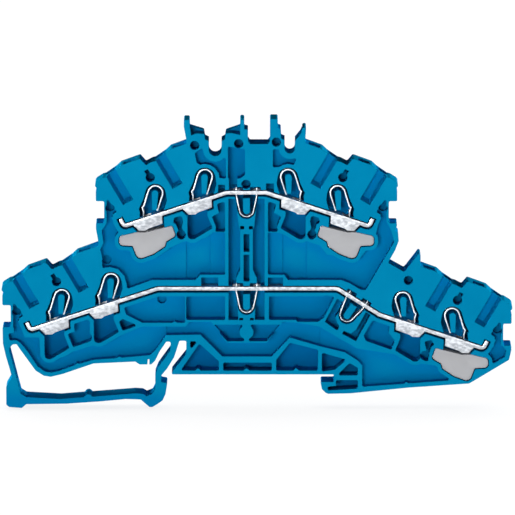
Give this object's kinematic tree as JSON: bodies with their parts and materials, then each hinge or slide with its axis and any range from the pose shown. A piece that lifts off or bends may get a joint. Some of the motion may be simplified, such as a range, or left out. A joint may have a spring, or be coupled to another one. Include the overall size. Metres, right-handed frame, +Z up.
{
  "type": "feed-through terminal block",
  "caption": "Slim rail-mounted double-deck terminal block with an open side, sloping current bars, looped clamp springs, grey inserts and a springy rail foot.",
  "frame": {"origin": "middle of the mounting rail on its top plane, half way through the block's thickness", "axes": "+X along the block towards its fixed hook end, +Y through the thickness towards the closed side, +Z up away from the rail"},
  "size_m": [0.1049, 0.0052, 0.0606],
  "materials": {
    "housing": "satin moulded polyamide, blue",
    "current_bar": "tin-plated copper alloy",
    "spring": "bright spring steel",
    "insert": "matt moulded polyamide, grey"
  },
  "bodies": {
    "root": {"housing": "housing", "upper_current_bar": "current_bar", "lower_current_bar": "current_bar", "upper_left_inner_spring": "spring", "upper_left_outer_spring": "spring", "upper_right_inner_spring": "spring", "upper_right_outer_spring": "spring", "lower_left_inner_spring": "spring", "lower_left_outer_spring": "spring", "lower_right_inner_spring": "spring", "lower_right_outer_spring": "spring", "upper_contact_spring": "spring", "lower_contact_spring": "spring", "tilted_contact_spring": "spring", "upper_left_insert": "insert", "upper_right_insert": "insert", "lower_right_insert": "insert"}
  },
  "joints": []
}
